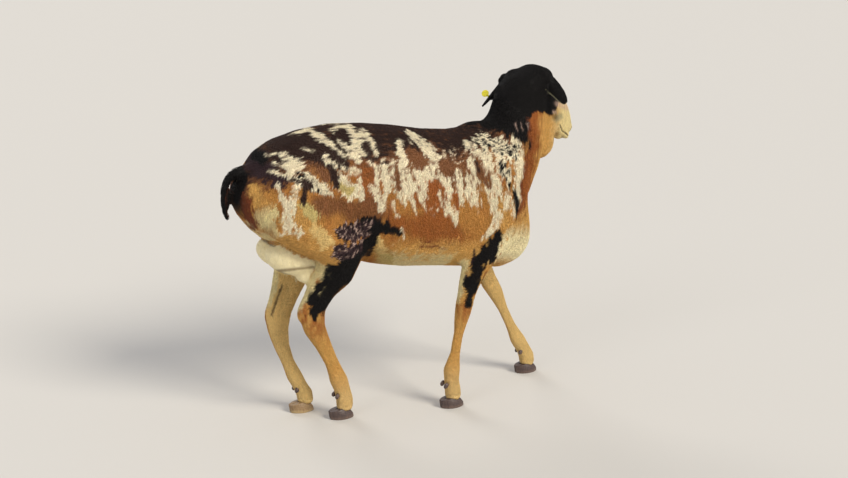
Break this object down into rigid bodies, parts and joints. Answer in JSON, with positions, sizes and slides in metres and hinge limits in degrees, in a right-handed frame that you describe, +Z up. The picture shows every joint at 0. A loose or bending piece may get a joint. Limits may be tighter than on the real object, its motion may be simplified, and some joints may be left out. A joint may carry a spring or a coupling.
{
  "type": "berber sheep",
  "caption": "Life-size museum model of a standing berber ewe with a mottled short coat, black head, drooping ears and a plain ear tag.",
  "frame": {"origin": "on the floor under the middle of the animal's box, at the level of the soles", "axes": "+X the way the body faces, +Y the animal's left, +Z up"},
  "size_m": [1.016, 0.2988, 0.8674],
  "materials": {
    "mottled_coat": "short smooth hair, dark brown on the back with cream, rust and black patches",
    "black_coat": "short smooth black hair",
    "tan_coat": "very short golden tan hair",
    "cream_skin": "soft pale skin with thin hair",
    "horn": "dull dark horn of the claws and dewclaws",
    "eye": "wet brown eye",
    "tag_plastic": "smooth yellow plastic"
  },
  "bodies": {
    "root": {"torso": "mottled_coat", "neck": "black_coat", "head": "black_coat", "tail": "black_coat", "ear_right": "black_coat", "ear_left": "black_coat", "ear_tag": "tag_plastic", "eye_right": "eye", "eye_left": "eye", "udder": "cream_skin", "fore_right_upper": "tan_coat", "fore_right_lower": "tan_coat", "claw_fore_right_right": "horn", "dewclaw_fore_right_right": "horn", "claw_fore_right_left": "horn", "dewclaw_fore_right_left": "horn", "fore_left_upper": "tan_coat", "fore_left_lower": "tan_coat", "claw_fore_left_right": "horn", "dewclaw_fore_left_right": "horn", "claw_fore_left_left": "horn", "dewclaw_fore_left_left": "horn", "hind_right_upper": "tan_coat", "hind_right_lower": "tan_coat", "claw_hind_right_right": "horn", "dewclaw_hind_right_right": "horn", "claw_hind_right_left": "horn", "dewclaw_hind_right_left": "horn", "hind_left_upper": "tan_coat", "hind_left_lower": "tan_coat", "claw_hind_left_right": "horn", "dewclaw_hind_left_right": "horn", "claw_hind_left_left": "horn", "dewclaw_hind_left_left": "horn"}
  },
  "joints": []
}
